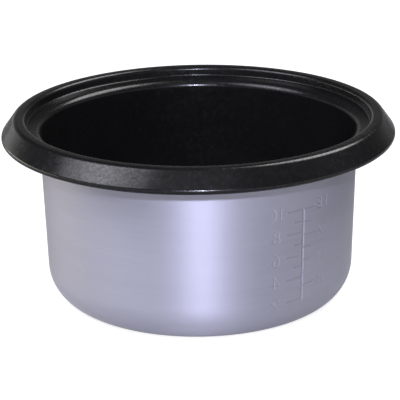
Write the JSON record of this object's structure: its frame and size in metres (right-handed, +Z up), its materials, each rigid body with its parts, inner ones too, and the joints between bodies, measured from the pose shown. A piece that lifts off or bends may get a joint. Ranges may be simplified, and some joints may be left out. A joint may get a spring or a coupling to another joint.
{
  "type": "rice cooker inner pot",
  "caption": "Round brushed-aluminium inner cooking pan of a rice cooker, with a dark non-stick lining carried over a wide stepped rim, and a level scale pressed into its wall.",
  "frame": {"origin": "on the pan's axis, on the plane it stands on", "axes": "+Z up along the pan's axis, out of its mouth; the level scale is in the quarter between -Y and +X"},
  "size_m": [0.276, 0.276, 0.1342],
  "materials": {
    "brushed_aluminium": "lathe-brushed bare aluminium",
    "nonstick_coating": "satin black non-stick coating"
  },
  "bodies": {
    "root": {"pan_shell": "brushed_aluminium", "nonstick_coat": "nonstick_coating"}
  },
  "joints": []
}
